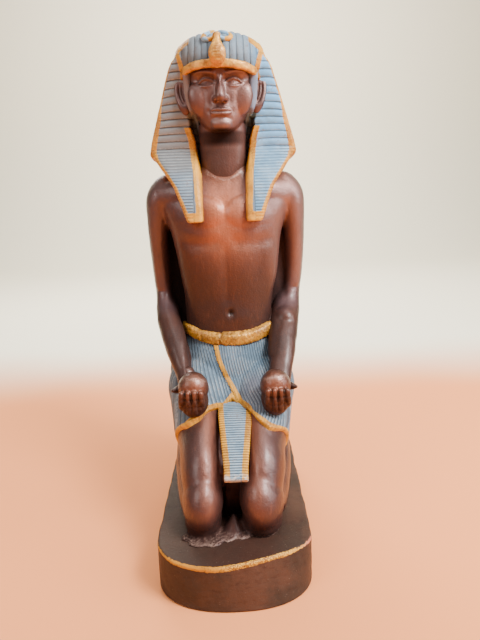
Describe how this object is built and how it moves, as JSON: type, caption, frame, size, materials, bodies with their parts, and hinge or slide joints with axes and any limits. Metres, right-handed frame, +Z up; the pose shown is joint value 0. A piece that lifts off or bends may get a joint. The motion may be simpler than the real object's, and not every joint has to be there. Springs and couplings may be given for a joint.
{
  "type": "kneeling pharaoh statue",
  "caption": "Kneeling pharaoh figure in a striped headdress and kilt that holds out two round jars, cast in one piece with its round-fronted plinth",
  "frame": {"origin": "middle of the plinth's underside, which is the middle of the bounding box's bottom", "axes": "+Z up along the statue's height, -Y the way the figure faces, +X to the figure's left"},
  "size_m": [0.103, 0.164, 0.3],
  "materials": {
    "bronze_paint": "semi-gloss reddish bronze paint on cast resin",
    "blue_paint": "dusty pale blue paint with darker grooves",
    "gold_paint": "hand-brushed gold paint, worn pale on its edges"
  },
  "bodies": {
    "root": {"pharaoh_statue": "bronze_paint"}
  },
  "joints": []
}
